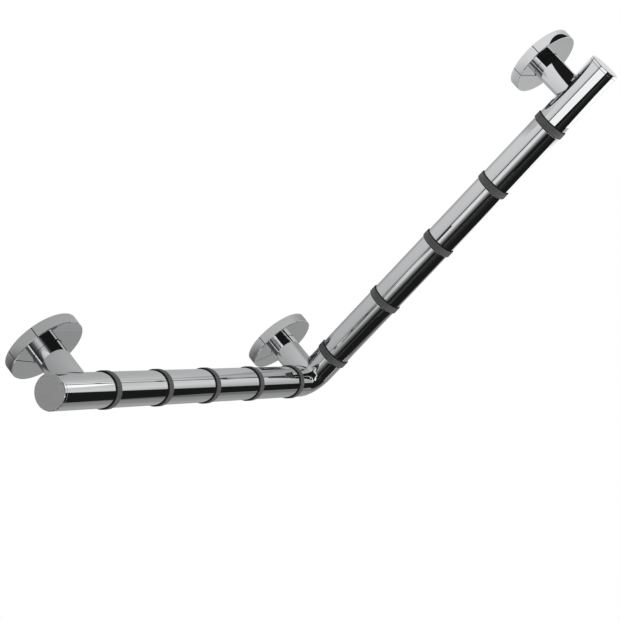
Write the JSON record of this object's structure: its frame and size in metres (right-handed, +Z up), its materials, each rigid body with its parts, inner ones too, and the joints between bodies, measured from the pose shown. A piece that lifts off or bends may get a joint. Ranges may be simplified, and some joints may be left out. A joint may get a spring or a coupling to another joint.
{
  "type": "angled wall grab bar",
  "caption": "L-shaped chromed wall grab bar with dark soft grip rings, flat end caps, and short posts whose round two-piece flange covers slide off their wall plates.",
  "frame": {"origin": "centre of the corner wall plate's back face, on the wall plane", "axes": "+Z up along the upper arm, -X along the lower arm, -Y straight out of the wall towards the bar"},
  "size_m": [0.486, 0.0747, 0.486],
  "materials": {
    "bar_chrome": "mirror-polished chrome plating",
    "cover_chrome": "mirror-polished chrome plating",
    "satin_cap": "fine satin",
    "grip_rubber": "matt dark grey",
    "zinc_steel": "zinc plated",
    "black_steel": "black oxide",
    "seal_rubber": "smooth black"
  },
  "bodies": {
    "bar_frame": {"lower_tube": "bar_chrome", "upper_tube": "bar_chrome", "corner_elbow": "bar_chrome", "lower_joint_sleeve": "zinc_steel", "upper_joint_sleeve": "zinc_steel", "lower_end_cap": "satin_cap", "upper_end_cap": "satin_cap", "grip_ring_lower_1": "grip_rubber", "grip_ring_lower_2": "grip_rubber", "grip_ring_lower_3": "grip_rubber", "grip_ring_lower_4": "grip_rubber", "grip_ring_lower_5": "grip_rubber", "grip_ring_upper_1": "grip_rubber", "grip_ring_upper_2": "grip_rubber", "grip_ring_upper_3": "grip_rubber", "grip_ring_upper_4": "grip_rubber", "grip_ring_upper_5": "grip_rubber", "lower_post": "bar_chrome", "corner_post": "bar_chrome", "upper_post": "bar_chrome", "lower_wall_plate": "zinc_steel", "corner_wall_plate": "zinc_steel", "upper_wall_plate": "zinc_steel", "lower_cover_seal": "seal_rubber", "corner_cover_seal": "seal_rubber", "upper_cover_seal": "seal_rubber", "lower_grub_screw": "black_steel", "corner_grub_screw": "black_steel", "upper_grub_screw": "black_steel"},
    "lower_cover": {"lower_flange_cover": "cover_chrome", "lower_cover_insert": "cover_chrome"},
    "corner_cover": {"corner_flange_cover": "cover_chrome", "corner_cover_insert": "cover_chrome"},
    "upper_cover": {"upper_flange_cover": "cover_chrome", "upper_cover_insert": "cover_chrome"}
  },
  "joints": [
    {"name": "lower_cover_slide", "type": "slide", "parent": "bar_frame", "child": "lower_cover", "axis": [0, -1, 0], "range_m": [0, 0.029]},
    {"name": "corner_cover_slide", "type": "slide", "parent": "bar_frame", "child": "corner_cover", "axis": [0, -1, 0], "range_m": [0, 0.029]},
    {"name": "upper_cover_slide", "type": "slide", "parent": "bar_frame", "child": "upper_cover", "axis": [0, -1, 0], "range_m": [0, 0.029]}
  ]
}
